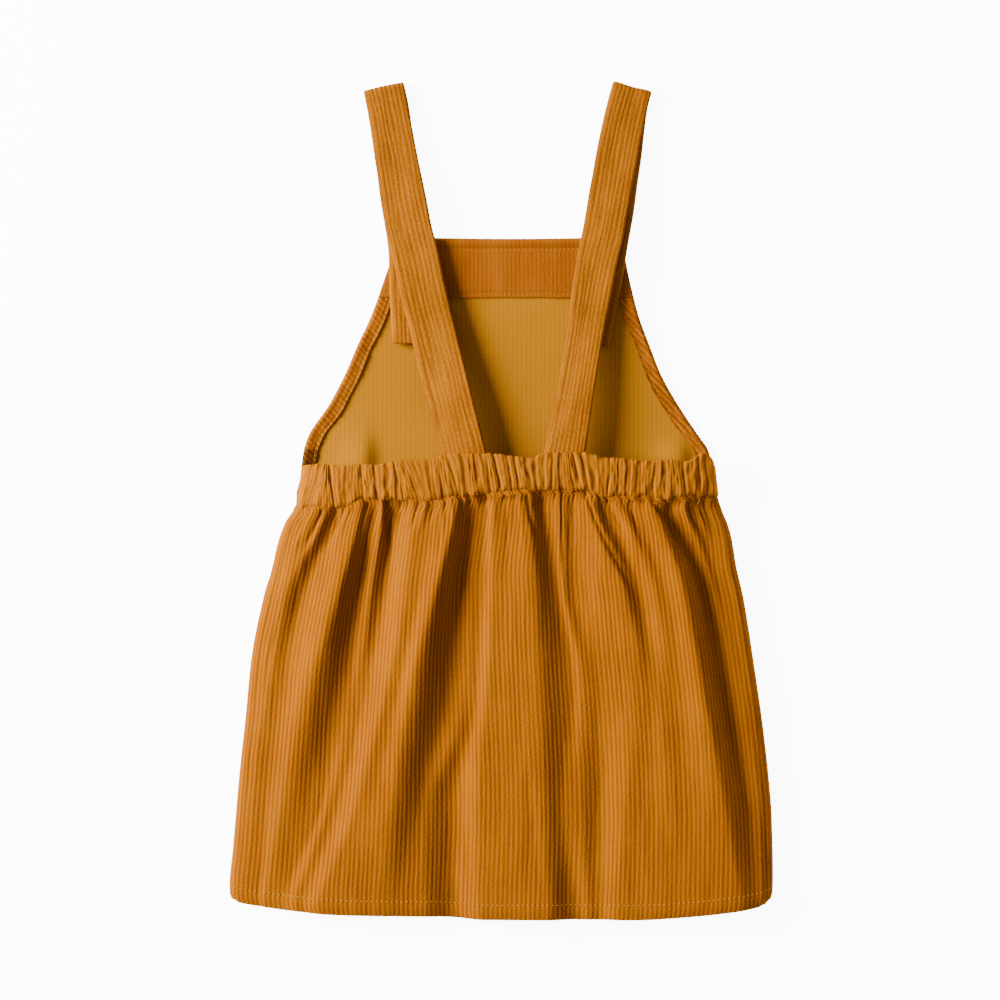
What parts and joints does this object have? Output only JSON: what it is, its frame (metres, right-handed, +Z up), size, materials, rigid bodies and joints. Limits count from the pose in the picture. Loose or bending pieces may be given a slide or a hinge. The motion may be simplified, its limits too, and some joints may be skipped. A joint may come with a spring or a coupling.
{
  "type": "pinafore dress",
  "caption": "Child's corduroy pinafore laid flat, back up: gathered skirt, elasticated back waist, bib front, and shoulder straps fastened inside the bib.",
  "frame": {"origin": "middle of the box's base, on the surface that the dress lies on", "axes": "+Y towards the shoulder straps, +X to the right seen from above, +Z up out of the back of the dress"},
  "size_m": [0.3231, 0.5032, 0.0235],
  "materials": {
    "corduroy": "cotton corduroy, brushed wales",
    "button_resin": "polished"
  },
  "bodies": {
    "root": {"front_panel": "corduroy", "back_skirt": "corduroy", "back_casing": "corduroy", "bib_facing": "corduroy", "armhole_facing_left": "corduroy", "armhole_facing_right": "corduroy", "strap_left": "corduroy", "strap_right": "corduroy", "button_left": "button_resin", "button_right": "button_resin"}
  },
  "joints": []
}
